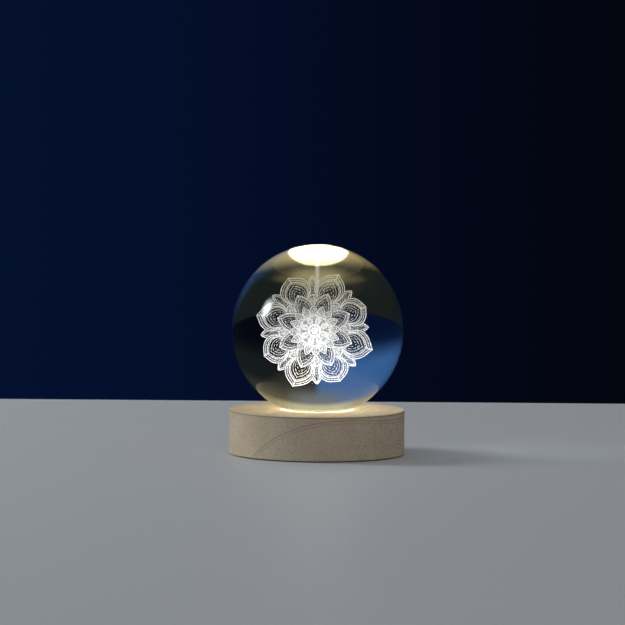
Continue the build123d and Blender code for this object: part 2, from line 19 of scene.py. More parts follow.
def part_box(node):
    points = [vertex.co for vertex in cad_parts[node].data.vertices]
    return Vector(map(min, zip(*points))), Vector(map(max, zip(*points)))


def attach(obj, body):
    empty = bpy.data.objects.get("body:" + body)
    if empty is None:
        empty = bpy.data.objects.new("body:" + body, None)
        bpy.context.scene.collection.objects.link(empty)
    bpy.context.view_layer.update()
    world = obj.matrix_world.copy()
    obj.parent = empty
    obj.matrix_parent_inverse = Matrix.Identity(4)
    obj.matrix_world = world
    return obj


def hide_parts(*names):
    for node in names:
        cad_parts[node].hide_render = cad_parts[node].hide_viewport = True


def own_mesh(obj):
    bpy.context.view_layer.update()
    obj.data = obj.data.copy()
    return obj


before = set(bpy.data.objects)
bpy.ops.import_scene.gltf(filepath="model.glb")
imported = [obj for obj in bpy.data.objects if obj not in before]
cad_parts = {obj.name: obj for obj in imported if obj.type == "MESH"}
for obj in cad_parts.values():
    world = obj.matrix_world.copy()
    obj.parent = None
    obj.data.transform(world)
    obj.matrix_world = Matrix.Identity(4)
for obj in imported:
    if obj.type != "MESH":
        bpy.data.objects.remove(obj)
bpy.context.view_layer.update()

MM = 0.001
PHOTO_SIDE = 625
BALL_MIDDLE = (0.0, 0.0, 0.0576126)
ROSETTE_MIDDLE = (-0.001, 0.0, 0.0576126)

# The rosette's plan, in millimetres and degrees
COPIES = 8
STEP_ANGLE = 360.0 / COPIES
HALF_STEP = STEP_ANGLE / 2
ROSETTE_TURN = 3.5
ROSETTE_REACH = 19.0
PATH_STEP = 0.16
CLEARANCE = 0.12
TIP_ANGLES = np.arange(HALF_STEP, 360.0, STEP_ANGLE)
TIP_TURNS = (4.1, 0.9, -0.7, -1.2, 1.7, -1.8, -5.3, -1.4)
TIP_REACHES = (1.045, 0.95, 1.02, 0.94, 1.0, 0.945, 1.022, 1.005)
LEAN_FROM = 9.0
LEAN_FULL = 18.9

log = logging.getLogger("crystal_ball_lamp")

Colour = tuple[float, float, float]
Points = np.ndarray
Socket = bpy.types.NodeSocket
Value = float | Socket
Paint = Colour | Socket
Owner = bpy.types.Material | bpy.types.World | bpy.types.Light


class Texture(Enum):
    """The fine structure that a plain finish has."""

    SATIN = "satin"
    SPARK = "spark"
    BRUSHED = "brushed"
    FOIL = "foil"
    FOAM = "foam"
    TRACES = "traces"


class Recipe:
    """The nodes of one material, light or world while they are being written. What a method
    returns is the socket to link from, unless it says otherwise."""

    def __init__(self, owner: Owner, output: str = "OutputMaterial", place: str = "Object") -> None:
        """Starts an empty node tree.

        Args:
            owner: The material, light or world.
            output: The type of its output node.
            place: The texture coordinate that its patterns lie in.
        """
        owner.use_nodes = True
        self.owner = owner
        self.tree = owner.node_tree
        self.tree.nodes.clear()
        self.output = self.node(output)
        self.place = self.node("TexCoord").outputs[place]

    def node(self, kind: str, inputs: dict | None = None, **settings: object) -> bpy.types.Node:
        """Adds a node.

        Args:
            kind: The node's type, without ShaderNode before it.
            inputs: Sockets by name or number, each with a value or a socket to link from.
            settings: The node's own properties.

        Returns:
            The new node.
        """
        made = self.tree.nodes.new(f"ShaderNode{kind}")
        for key, value in settings.items():
            setattr(made, key, value)
        for socket, value in (inputs or {}).items():
            if isinstance(value, Socket):
                self.tree.links.new(value, made.inputs[socket])
            else:
                made.inputs[socket].default_value = value
        return made

    def math(self, operation: str, *values: Value) -> Socket:
        """The result of a Math node's operation on some values."""
        return self.node("Math", dict(enumerate(values)), operation=operation).outputs[0]

    def product(self, *values: Value) -> Socket:
        """The product of two values or more."""
        return reduce(partial(self.math, "MULTIPLY"), values)

    def total(self, *values: Value) -> Socket:
        """The sum of two values or more."""
        return reduce(partial(self.math, "ADD"), values)

    def highest(self, *values: Value) -> Socket:
        """The highest of two values or more."""
        return reduce(partial(self.math, "MAXIMUM"), values)

    def minus(self, value: Value, taken: Value) -> Socket:
        """What is left of a value when another is taken from it."""
        return self.math("SUBTRACT", value, taken)

    def squares(self, across: Value, along: Value) -> Socket:
        """The squared length of a flat vector."""
        return self.total(self.product(across, across), self.product(along, along))

    def length(self, across: Value, along: Value) -> Socket:
        """The length of a flat vector."""
        return self.math("SQRT", self.squares(across, along))

    def axes(self, place: Socket | None = None) -> tuple[Socket, ...]:
        """The three parts of a place, or else of the object's own."""
        return tuple(self.node("SeparateXYZ", {0: self.place if place is None else place}).outputs)

    def radius(self) -> Socket:
        """The distance from the upright axis."""
        across, along, _ = self.axes()
        return self.length(across, along)

    def distance(self, place: Socket, point: Colour) -> Socket:
        """The distance of a place from a point."""
        return self.node("VectorMath", {0: place, 1: point}, operation="DISTANCE").outputs["Value"]

    def ray(self, kind: str) -> Socket:
        """1 if the ray is of a kind, or else 0."""
        return self.node("LightPath").outputs[f"Is {kind} Ray"]

    def blend(self, factor: Value, first: Paint, second: Paint, mode: str = "MIX") -> Socket:
        """Mixes two colours.

        Args:
            factor: The second colour's share.
            first: The first colour.
            second: The second colour.
            mode: How they mix.

        Returns:
            The mixed colour.
        """
        inputs = {0: factor}
        for number, value in ((6, first), (7, second)):
            inputs[number] = value if isinstance(value, Socket) else (*value, 1.0)
        return self.node("Mix", inputs, data_type="RGBA", blend_type=mode).outputs[2]

    def range(
        self, value: Value, low: float, high: float, to_low: float = 0.0, to_high: float = 1.0
    ) -> Socket:
        """Maps a value's range smoothly to another.

        Args:
            value: The value.
            low: Where its range starts.
            high: Where its range ends.
            to_low: What the start becomes.
            to_high: What the end becomes.

        Returns:
            The mapped value.
        """
        inputs = {0: value, 1: low, 2: high, 3: to_low, 4: to_high}
        return self.node("MapRange", inputs, interpolation_type="SMOOTHSTEP").outputs[0]

    def fall(self, value: Value, low: float, high: float, start: float = 1.0) -> Socket:
        """Maps a value's range smoothly from a start down to 0."""
        return self.range(value, low, high, start, 0.0)

    def stretched(self, scale: Colour, turn: Colour = (0.0, 0.0, 0.0)) -> Socket:
        """The object's own place, turned and then scaled."""
        turned = self.node("Mapping", {"Vector": self.place, "Rotation": turn}).outputs[0]
        return self.node("Mapping", {"Vector": turned, "Scale": scale}).outputs[0]

    def noise(
        self, scale: float, detail: float = 3.0, rough: float = 0.55, place: Socket | None = None
    ) -> Socket:
        """Noise from 0 to 1.

        Args:
            scale: How fine it is.
            detail: How many finer layers it has.
            rough: How strong those are.
            place: The place that it lies in, or else the object's own.

        Returns:
            The noise.
        """
        vector = self.place if place is None else place
        inputs = {"Vector": vector, "Scale": scale, "Detail": detail, "Roughness": rough}
        return self.node("TexNoise", inputs).outputs["Fac"]

    def cells(self, scale: float, place: Socket | None = None) -> Socket:
        """Distances to the middles of cells of a scale."""
        vector = self.place if place is None else place
        return self.node("TexVoronoi", {"Vector": vector, "Scale": scale}).outputs["Distance"]

    def bump(self, height: Value, strength: float, distance: float) -> Socket:
        """A bumped normal."""
        inputs = {"Height": height, "Strength": strength, "Distance": distance}
        return self.node("Bump", inputs).outputs["Normal"]

    def finish(self, shader: bpy.types.Node) -> Owner:
        """Links the last shader to the output and returns the tree's owner."""
        self.tree.links.new(shader.outputs[0], self.output.inputs["Surface"])
        return self.owner

    def surface(self, inputs: dict) -> Owner:
        """Ends with an opaque surface of these inputs and returns the tree's owner."""
        return self.finish(self.node("BsdfPrincipled", inputs))

    def either(self, factor: Value, first: bpy.types.Node, second: bpy.types.Node) -> Owner:
        """Ends with the second shader where the factor is 1, and returns the tree's owner."""
        inputs = {0: factor, 1: first.outputs[0], 2: second.outputs[0]}
        return self.finish(self.node("MixShader", inputs))


@dataclass(frozen=True)
class PlainFinish:
    """A moulded, coated, drawn or foamed surface of one colour."""

    name: str
    colour: Colour
    texture: Texture = Texture.SATIN
    roughness: float = 0.5
    metallic: float = 0.0
    relief: float = 0.25
    coat: float = 0.0
    glow: Colour = (0.0, 0.0, 0.0)
    glow_strength: float = 0.0
    trace_colour: Colour = (0.0, 0.0, 0.0)
    trace_scale: float = 420.0
    variation: float = 0.12
    grain: float = 900.0

    def height(self, recipe: Recipe) -> Socket:
        """The surface's fine relief, from 0 to 1.

        Args:
            recipe: The material that is being written.

        Returns:
            The relief.
        """
        if self.texture is Texture.BRUSHED:
            return recipe.noise(self.grain, place=recipe.stretched((1.0, 1.0, 14.0)))
        if self.texture is Texture.FOIL:
            return recipe.product(recipe.cells(self.grain * 0.25), recipe.noise(self.grain))
        if self.texture is Texture.FOAM:
            return recipe.math("POWER", recipe.cells(self.grain), 0.6)
        if self.texture is Texture.SPARK:
            return recipe.cells(self.grain * 2.5)
        return recipe.noise(self.grain)

    def make(self) -> bpy.types.Material:
        """Writes the material.

        Returns:
            The node material.
        """
        recipe = Recipe(bpy.data.materials.new(self.name))
        height = self.height(recipe)
        cloud = recipe.noise(self.grain * 0.12, 4.0)
        dark = tuple(part * (1 - self.variation) for part in self.colour)
        light = tuple(min(part * (1 + self.variation), 1.0) for part in self.colour)
        colour = recipe.blend(cloud, dark, light)
        if self.texture is Texture.TRACES:
            bricks = {"Vector": recipe.place, "Scale": self.trace_scale, "Mortar Size": 0.06}
            bands = recipe.node("TexBrick", bricks, offset=0.37).outputs["Fac"]
            colour = recipe.blend(bands, colour, self.trace_colour)
        inputs = {
            "Base Color": colour,
            "Metallic": self.metallic,
            "Roughness": recipe.range(
                height, 0.2, 0.8, self.roughness * 0.85, self.roughness * 1.15
            ),
            "Normal": recipe.bump(height, self.relief, 0.00004),
            "Coat Weight": self.coat,
        }
        if self.glow_strength:
            spread = recipe.range(cloud, 0.2, 0.8, 0.92, 1.08)
            inputs["Emission Color"] = (*self.glow, 1.0)
            inputs["Emission Strength"] = recipe.product(spread, self.glow_strength)
        return recipe.surface(inputs)


@dataclass(frozen=True)
class BeechFinish:
    """Sanded beech: growth rings about a lying axis, fine grain, small dark pores, and the
    lamp's warm light on the top round the ball."""

    name: str = "sanded_beech"
    pale: Colour = (0.65, 0.56, 0.43)
    warm: Colour = (0.54, 0.45, 0.32)
    ring_brown: Colour = (0.33, 0.20, 0.13)
    pore_brown: Colour = (0.24, 0.15, 0.10)
    edge_brown: Colour = (0.22, 0.11, 0.05)
    pith_across: float = 0.028
    pith_height: float = -0.0474
    ring_place: float = 0.0669
    ring_spacing: float = 0.0115
    inner_rings: int = 20
    wander: float = 0.0035
    grain_yaw: float = 0.36
    top: float = 0.0209
    light_colour: Colour = (1.0, 0.87, 0.53)
    light_strength: float = 0.42
    light_from: float = 0.0168
    light_to: float = 0.056
    foot_strength: float = 0.52
    foot_to: float = 0.0235
    rim_strength: float = 0.45
    rim_to: float = 0.0176

    def grain(self, recipe: Recipe, scale: Colour = (1.0, 1.0, 1.0)) -> Socket:
        """The place, turned so that the log lies along Y, and scaled."""
        return recipe.stretched(scale, (0.0, 0.0, self.grain_yaw))

    def rings(self, recipe: Recipe) -> Socket:
        """The growth rings' late wood, drawn as thin double lines.

        Args:
            recipe: The material that is being written.

        Returns:
            The rings' strength.
        """
        across, _, height = recipe.axes(self.grain(recipe))
        reach = recipe.length(
            recipe.minus(across, self.pith_across), recipe.minus(height, self.pith_height)
        )
        wander = recipe.noise(30.0, 2.0, place=recipe.stretched((1.0, 0.25, 1.0)))
        reach = recipe.total(reach, recipe.product(recipe.minus(wander, 0.5), self.wander))
        first = self.ring_place - self.inner_rings * self.ring_spacing
        ring = recipe.math("DIVIDE", recipe.minus(reach, first), self.ring_spacing)
        part = recipe.math("FRACT", ring)
        late = recipe.product(recipe.range(part, 0.91, 0.98), recipe.fall(part, 0.98, 1.0))
        early = recipe.product(recipe.range(part, 0.80, 0.86), recipe.fall(part, 0.86, 0.90, 0.6))
        off = recipe.math("ABSOLUTE", recipe.minus(reach, self.ring_place))
        strong = recipe.range(off, 0.002, 0.008, 0.58, 0.12)
        return recipe.product(recipe.highest(late, early), strong)

    def lamp_light(self, recipe: Recipe) -> Socket:
        """The lamp's light on the top: bright at the ball's foot, fading to the edge.

        Args:
            recipe: The material that is being written.

        Returns:
            The light's strength.
        """
        radius = recipe.radius()
        wide = recipe.fall(radius, self.light_from, self.light_to, self.light_strength)
        foot = recipe.math("POWER", recipe.fall(radius, self.light_from, self.foot_to), 2.0)
        foot = recipe.product(foot, self.foot_strength)
        rim = recipe.fall(radius, self.light_from, self.rim_to, self.rim_strength)
        on_top = recipe.range(recipe.axes()[2], self.top - 0.0006, self.top - 0.0002)
        return recipe.product(recipe.total(wide, foot, rim), on_top)

    def make(self) -> bpy.types.Material:
        """Writes the material.

        Returns:
            The node material.
        """
        recipe = Recipe(bpy.data.materials.new(self.name))
        fibre = recipe.noise(250.0, 4.0, 0.7, self.grain(recipe, (4.0, 0.16, 4.0)))
        cloud = recipe.noise(55.0, 4.0)
        streak = recipe.noise(150.0, 2.0, place=self.grain(recipe, (9.0, 0.2, 9.0)))
        chosen = recipe.range(recipe.noise(260.0, 1.0), 0.30, 0.50)
        pores = recipe.cells(1150.0, self.grain(recipe, (1.0, 0.07, 0.8)))
        pores = recipe.product(chosen, recipe.fall(pores, 0.12, 0.34, 0.55))
        height = recipe.axes()[2]
        edge = recipe.product(
            recipe.range(height, self.top - 0.0011, self.top - 0.0006, 0.0, 0.6),
            recipe.fall(height, self.top - 0.0004, self.top - 0.0002),
        )
        colour = recipe.blend(recipe.range(cloud, 0.25, 0.75), self.pale, self.warm)
        for share, shade in (
            (recipe.range(fibre, 0.35, 0.70, 0.0, 0.65), self.warm),
            (recipe.range(streak, 0.48, 0.72, 0.0, 0.30), self.ring_brown),
            (self.rings(recipe), self.ring_brown),
            (pores, self.pore_brown),
            (edge, self.edge_brown),
        ):
            colour = recipe.blend(share, colour, shade)
        inputs = {
            "Base Color": colour,
            "Roughness": recipe.range(fibre, 0.3, 0.7, 0.56, 0.72),
            "Specular IOR Level": 0.15,
            "Normal": recipe.bump(recipe.minus(fibre, pores), 0.35, 0.00005),
            "Emission Color": recipe.blend(1.0, colour, self.light_colour, "MULTIPLY"),
            "Emission Strength": self.lamp_light(recipe),
        }
        return recipe.surface(inputs)


@dataclass(frozen=True)
class LitRingFinish:
    """Clear silicone that carries the recess's light: bright inside, where the ball covers
    it, and fainter outside."""

    name: str = "lit_clear_silicone"
    colour: Colour = (0.94, 0.91, 0.82)
    shade: Colour = (0.90, 0.87, 0.78)
    glow: Colour = (1.0, 0.86, 0.50)
    inner_strength: float = 11.0
    outer_strength: float = 1.2
    inner: float = 0.0155
    outer: float = 0.0158

    def make(self) -> bpy.types.Material:
        """Writes the material.

        Returns:
            The node material.
        """
        recipe = Recipe(bpy.data.materials.new(self.name))
        grain = recipe.noise(900.0)
        strength = recipe.range(
            recipe.radius(), self.inner, self.outer, self.inner_strength, self.outer_strength
        )
        inputs = {
            "Base Color": recipe.blend(grain, self.shade, self.colour),
            "Roughness": recipe.range(grain, 0.2, 0.8, 0.26, 0.38),
            "Normal": recipe.bump(grain, 0.2, 0.00003),
            "Emission Color": (*self.glow, 1.0),
            "Emission Strength": strength,
        }
        return recipe.surface(inputs)


@dataclass(frozen=True)
class ClearGlassFinish:
    """Polished solid glass that lets the lamps light what is inside and under it."""

    name: str = "clear_optical_glass"
    tint: Colour = (0.985, 0.995, 0.985)
    index: float = 1.5

    def make(self) -> bpy.types.Material:
        """Writes the material.

        Returns:
            The node material.
        """
        recipe = Recipe(bpy.data.materials.new(self.name))
        tint = (*self.tint, 1.0)
        haze = recipe.range(recipe.noise(60.0), 0.35, 0.75, 0.0, 0.012)
        inputs = {"Base Color": tint, "Roughness": haze, "IOR": self.index}
        glass = recipe.node("BsdfPrincipled", {**inputs, "Transmission Weight": 1.0})
        clear = recipe.node("BsdfTransparent", {"Color": tint})
        return recipe.either(recipe.ray("Shadow"), glass, clear)


@dataclass(frozen=True)
class EngravingFinish:
    """White cracks in the glass, lit from below: brightest at the middle and at the bottom,
    a little warmer and dimmer at the top."""

    name: str = "lit_engraving"
    white: Colour = (0.93, 0.95, 1.0)
    warm: Colour = (1.0, 0.93, 0.72)
    shade: Colour = (0.36, 0.37, 0.38)
    crack: Colour = (0.46, 0.46, 0.46)
    strength: float = 0.92

    def make(self) -> bpy.types.Material:
        """Writes the material.

        Returns:
            The node material.
        """
        recipe = Recipe(bpy.data.materials.new(self.name))
        away = recipe.distance(recipe.place, ROSETTE_MIDDLE)
        height = recipe.axes()[2]
        low = recipe.range(height, 0.040, 0.074, 1.42, 0.33)
        light = recipe.total(low, recipe.fall(away, 0.0020, 0.0028, 0.31))
        sparkle = recipe.range(recipe.noise(2600.0, 1.0), 0.3, 0.75, 0.7, 1.3)
        inputs = {
            "Base Color": recipe.blend(sparkle, self.shade, self.crack),
            "Roughness": recipe.range(sparkle, 0.5, 1.5, 0.55, 0.8),
            "Normal": recipe.bump(sparkle, 0.3, 0.00003),
            "Emission Color": recipe.blend(
                recipe.range(height, 0.056, 0.076), self.white, self.warm
            ),
            "Emission Strength": recipe.product(light, sparkle, self.strength),
        }
        return recipe.surface(inputs)


@dataclass(frozen=True)
class DiffuserFinish:
    """A frosted disc over six light sources: bright all over, yellower over each source."""

    name: str = "lit_diffuser"
    shade: Colour = (0.84, 0.82, 0.78)
    frosted: Colour = (0.93, 0.92, 0.88)
    white: Colour = (1.0, 0.86, 0.58)
    yellow: Colour = (1.0, 0.72, 0.22)
    strength: float = 24.0
    source_strength: float = 52.8
    source_radius: float = 0.0085
    source_count: int = 6
    spot_area: float = 0.0000065

    def make(self) -> bpy.types.Material:
        """Writes the material.

        Returns:
            The node material.
        """
        recipe = Recipe(bpy.data.materials.new(self.name))
        across, along, _ = recipe.axes()
        spots = []
        for k in range(self.source_count):
            angle = 2 * math.pi * k / self.source_count
            away = recipe.squares(
                recipe.minus(across, self.source_radius * math.cos(angle)),
                recipe.minus(along, self.source_radius * math.sin(angle)),
            )
            spots.append(recipe.fall(away, 0.0, self.spot_area))
        spot = recipe.highest(*spots)
        frost = recipe.noise(1500.0, 2.0)
        inputs = {
            "Base Color": recipe.blend(frost, self.shade, self.frosted),
            "Roughness": recipe.range(frost, 0.3, 0.7, 0.5, 0.7),
            "Normal": recipe.bump(frost, 0.3, 0.00003),
            "Emission Color": recipe.blend(spot, self.white, self.yellow),
            "Emission Strength": recipe.range(
                spot, 0.0, 1.0, self.strength, self.source_strength
            ),
        }
        return recipe.surface(inputs)


Finish = PlainFinish | BeechFinish | LitRingFinish | DiffuserFinish


def in_scene(name: str, data: bpy.types.ID) -> bpy.types.Object:
    """Makes an object and links it to the scene."""
    made = bpy.data.objects.new(name, data)
    bpy.context.scene.collection.objects.link(made)
    return made


def new_mesh(
    name: str, vertices: Points, faces: list, material: bpy.types.Material, smooth: bool = False
) -> bpy.types.Object:
    """Makes a mesh object.

    Args:
        name: The object's name.
        vertices: Its points.
        faces: Its faces, by point number.
        material: Its finish.
        smooth: Whether its faces are shaded smooth.

    Returns:
        The new object.
    """
    mesh = bpy.data.meshes.new(name)
    mesh.from_pydata(np.asarray(vertices).tolist(), [], faces)
    mesh.validate()
    mesh.update()
    mesh.polygons.foreach_set("use_smooth", [smooth] * len(mesh.polygons))
    mesh.materials.append(material)
    return in_scene(name, mesh)


def own_piece(piece: bpy.types.Object, body: str, node: str) -> bpy.types.Object:
    """Takes an object into the model.

    Args:
        piece: The object.
        body: The CAD body that it moves with.
        node: The CAD node that it stands for.

    Returns:
        The same object.
    """
    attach(piece, body)
    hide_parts(node)
    log.info("%s: %d faces, rides on %s", piece.name, len(piece.data.polygons), body)
    return piece


def directions(path: Points) -> Points:
    """The unit direction of a path at each of its points."""
    way = np.gradient(path, axis=0)
    return way / np.maximum(np.linalg.norm(way, axis=1), 1e-9)[:, None]


def tube(length: int, sides: int) -> tuple[Points, Points]:
    """The faces of a closed tube, whose points lie ring after ring.

    Args:
        length: The number of rings.
        sides: The number of points in a ring.

    Returns:
        The faces along it and the two faces at its ends.
    """
    ring = np.arange(sides)
    start = np.arange(length - 1)[:, None] * sides
    walls = []
    for k in ring:
        beside = (k + 1) % sides
        walls.append(start + np.array((k, beside, beside + sides, k + sides)))
    return np.concatenate(walls), np.stack((ring[::-1], ring + sides * (length - 1)))


@dataclass
class GlassBall:
    """The solid ball, as a finely divided cube blown out to a sphere."""

    radius: float = 0.040
    divisions: int = 96

    def side(self, axis: int, sign: int) -> Points:
        """One of the six sides.

        Args:
            axis: The axis that the side faces along.
            sign: 1 or -1 along that axis.

        Returns:
            The side's points on the unit sphere.
        """
        steps = np.tan(np.linspace(-math.pi / 4, math.pi / 4, self.divisions + 1))
        u, v = np.meshgrid(steps, steps, indexing="ij")
        points = np.zeros((*u.shape, 3))
        points[..., axis] = sign
        points[..., (axis + 1) % 3] = u * sign
        points[..., (axis + 2) % 3] = v
        points = points.reshape(-1, 3)
        return points / np.linalg.norm(points, axis=1)[:, None]

    def build(self, finish: ClearGlassFinish) -> bpy.types.Object:
        """Makes the ball.

        Args:
            finish: Its glass.

        Returns:
            The ball's object.
        """
        sides = [self.side(axis, sign) for axis in range(3) for sign in (1, -1)]
        everything = np.concatenate(sides)
        n = self.divisions
        corners = (np.arange(n)[:, None] * (n + 1) + np.arange(n)).reshape(-1, 1)
        grid = corners + np.array((0, n + 1, n + 2, 1))
        faces = np.concatenate([grid + k * (n + 1) ** 2 for k in range(len(sides))])
        # Points that two sides share become one
        keys = np.round(everything * 1e6).astype(np.int64)
        _, first, number = np.unique(keys, axis=0, return_index=True, return_inverse=True)
        vertices = everything[first] * self.radius + np.array(BALL_MIDDLE)
        faces = number.reshape(-1)[faces].tolist()
        ball = new_mesh("glass_ball", vertices, faces, finish.make(), smooth=True)
        return own_piece(ball, "ball", "crystal_ball")


@dataclass(frozen=True)
class PetalShape:
    """A petal's outline: where it starts and ends, how wide it is, and its curve's shares."""

    root: float
    tip: float
    half_width: float
    root_share: float = 0.35
    belly: float = 0.50
    across: float = 0.62
    along: float = 0.82
    nest: float = 1.6
    lean: float = 1.1

    def side(self, inset: float = 0.0, count: int = 40) -> Points:
        """The right-hand edge, from root to tip, as a smooth curve through four places.

        Args:
            inset: How far the line lies inside the petal's own edge.
            count: The number of points.

        Returns:
            The points, each across and along.
        """
        side = self.half_width - inset
        top = self.tip - inset * self.nest
        length = top - self.root
        knots = np.array(
            (
                (side * self.root_share, self.root),
                (side, self.root + length * self.belly),
                (side * self.across, self.root + length * self.along),
                (0.0, top),
            )
        )
        spans = np.linalg.norm(np.diff(knots, axis=0), axis=1)
        matrix, right = np.eye(4), np.zeros((4, 2))
        for row, slope in ((0, (1.0, 1.0)), (3, (-self.lean, 1.0))):
            right[row] = slope / np.linalg.norm(slope)
        for k in (1, 2):
            before, after = spans[k - 1], spans[k]
            matrix[k, k - 1 : k + 2] = after, 2 * (before + after), before
            right[k] = 3 * (
                after * (knots[k] - knots[k - 1]) / before
                + before * (knots[k + 1] - knots[k]) / after
            )
        slopes = np.linalg.solve(matrix, right)
        curve = []
        for k, span in enumerate(spans):
            share = np.linspace(0, 1, max(int(count * span / spans.sum()), 4))[:, None]
            curve.append(
                (2 * share**3 - 3 * share**2 + 1) * knots[k]
                + (share**3 - 2 * share**2 + share) * span * slopes[k]
                + (3 * share**2 - 2 * share**3) * knots[k + 1]
                + (share**3 - share**2) * span * slopes[k + 1]
            )
        points = np.concatenate([part[:-1] for part in curve] + [curve[-1][-1:]])
        points[:, 0] = np.maximum(points[:, 0], 0.0)
        return points

    def outline(self, inset: float = 0.0) -> Points:
        """The whole outline as an open line from root to tip and back to the root."""
        right = self.side(inset)
        return np.concatenate((right, right[::-1][1:] * np.array((-1.0, 1.0))))

    def width_at(self, along: Points, grow: float = 0.0) -> Points:
        """The petal's half width at distances along it, 0 outside it."""
        side = self.side(-grow, 80)
        order = np.argsort(side[:, 1])
        return np.interp(along, side[order, 1], side[order, 0], left=0.0, right=0.0)


class Engraver:
    """Collects fine lines and beads in the rosette's own plane and makes one piece of them."""

    BEAD = np.array(((1, 0, 0), (0, 1, 0), (-1, 0, 0), (0, -1, 0), (0, 0, 1), (0, 0, -1)), float)
    WIDTH_SPREAD = 0.16
    DEPTH_SPREAD = 0.05
    COPY_SPREAD = 0.012

    def __init__(self, seed: int, depth: float, lift: float = 0.0) -> None:
        """Starts an empty layer.

        Args:
            seed: The seed of the layer's small irregularities.
            depth: The layer's place along Y.
            lift: How far the petals' ends come forward.
        """
        self.chance = np.random.default_rng(seed)
        self.depth = depth
        self.lift = lift
        self.clear()

    def clear(self) -> None:
        """Empties the layer."""
        self.points: list[Points] = []
        self.faces: list[Points] = []
        self.count = 0

    def add(self, points: Points, faces: Points) -> None:
        """Adds points, each across, along and forward, with their faces."""
        self.points.append(points)
        self.faces.append(faces + self.count)
        self.count += len(points)

    def take(self, other: "Engraver") -> None:
        """Adds all that another layer holds."""
        self.add(np.concatenate(other.points), np.concatenate(other.faces))

    def line(self, path: Points, width: float, thickness: float = 0.09) -> None:
        """Adds a closed flat ribbon along a path.

        Args:
            path: The path's points.
            width: The ribbon's width.
            thickness: Its thickness.
        """
        if len(path) < 2:
            return
        way = directions(path)
        normal = np.stack((-way[:, 1], way[:, 0]), axis=1)
        spread = 1 + self.WIDTH_SPREAD * self.chance.standard_normal(len(path))
        aside = normal * (width * spread)[:, None] / 2
        forward = np.full(len(path), thickness / 2)
        corners = []
        for side, front in ((1, 1), (-1, 1), (-1, -1), (1, -1)):
            corners.append(np.column_stack((path + side * aside, front * forward)))
        points = np.stack(corners, axis=1).reshape(-1, 3)
        self.add(points, np.concatenate(tube(len(path), len(corners))))

    def dots(self, places: Points, size: float) -> None:
        """Adds a small bead at each place.

        Args:
            places: The beads' places, each across and along.
            size: A bead's radius.
        """
        n = len(places)
        if not n:
            return
        sizes = size * self.chance.uniform(0.7, 1.3, n)[:, None, None]
        away = self.chance.normal(0.0, self.DEPTH_SPREAD, n)
        middles = np.column_stack((places, away))[:, None, :]
        points = (middles + self.BEAD * sizes).reshape(-1, 3)
        start = np.arange(n)[:, None] * len(self.BEAD)
        for k in range(4):
            beside = (k + 1) % 4
            for face in ((k, beside, 4, 4), (beside, k, 5, 5)):
                self.faces.append(start + np.array(face) + self.count)
        self.points.append(points)
        self.count += len(points)

    def turned(self, turn: float) -> None:
        """Repeats all that was added so far about the rosette's middle.

        Args:
            turn: The first copy's turn.
        """
        points, faces = np.concatenate(self.points), np.concatenate(self.faces)
        self.clear()
        for k in range(COPIES):
            angle = math.radians(turn + STEP_ANGLE * k)
            c, s = math.cos(angle), math.sin(angle)
            moved = points @ np.array(((c, -s, 0), (s, c, 0), (0, 0, 1)))
            moved[:, :2] += self.chance.normal(0.0, self.COPY_SPREAD, (len(moved), 2))
            self.add(moved, faces)

    def piece(self, name: str, node: str, material: bpy.types.Material) -> bpy.types.Object:
        """Makes the layer's mesh.

        Args:
            name: The piece's name.
            node: The CAD node that it stands for.
            material: Its finish.

        Returns:
            The new object.
        """
        points = np.concatenate(self.points)
        angle = math.radians(ROSETTE_TURN)
        c, s = math.cos(angle), math.sin(angle)
        points[:, :2] = leaning(points[:, :2]) @ np.array(((c, s), (-s, c)))
        away = np.hypot(points[:, 0], points[:, 1])
        y = self.depth - points[:, 2] - self.lift * (away / ROSETTE_REACH) ** 2
        vertices = np.column_stack((points[:, 0], y, points[:, 1])) * MM + np.array(ROSETTE_MIDDLE)
        faces = [tuple(dict.fromkeys(face)) for face in np.concatenate(self.faces).tolist()]
        layer = new_mesh(name, vertices, faces, material)
        return own_piece(layer, "ball", node)


def polar(flat: Points) -> tuple[Points, Points]:
    """Flat points' distances from the middle, and their angles from upright in degrees."""
    return np.hypot(flat[:, 0], flat[:, 1]), np.degrees(np.arctan2(flat[:, 0], flat[:, 1]))


def round_middle(angle: Points, away: Points) -> Points:
    """The flat points at angles from upright, in radians, and distances from the middle."""
    return np.column_stack((np.sin(angle), np.cos(angle))) * away[:, None]


def leaning(flat: Points) -> Points:
    """Gives each outer petal its own slight lean and reach, more so towards its tip.

    Args:
        flat: Points across and along.

    Returns:
        The moved points.
    """
    away, angle = polar(flat)
    share = np.clip((away - LEAN_FROM) / (LEAN_FULL - LEAN_FROM), 0.0, 1.0) ** 1.5
    turn = np.interp(angle, TIP_ANGLES, TIP_TURNS, period=360) * share
    reach = 1 + (np.interp(angle, TIP_ANGLES, TIP_REACHES, period=360) - 1) * share
    return round_middle(np.radians(angle + turn), away * reach)


def runs(path: Points, shown: Points) -> list[Points]:
    """The stretches of a path that are shown.

    Args:
        path: The path's points.
        shown: Whether each is shown.

    Returns:
        The stretches of two points and more.
    """
    found, start = [], None
    for k, visible in enumerate([*shown, False]):
        if visible and start is None:
            start = k
        elif not visible and start is not None:
            if k - start > 1:
                found.append(path[start:k])
            start = None
    return found


def even(path: Points, step: float = PATH_STEP) -> Points:
    """The same path with evenly spaced points."""
    lengths = np.concatenate(([0.0], np.cumsum(np.linalg.norm(np.diff(path, axis=0), axis=1))))
    places = np.linspace(0, lengths[-1], max(int(lengths[-1] / step), 2))
    return np.column_stack([np.interp(places, lengths, path[:, k]) for k in range(2)])


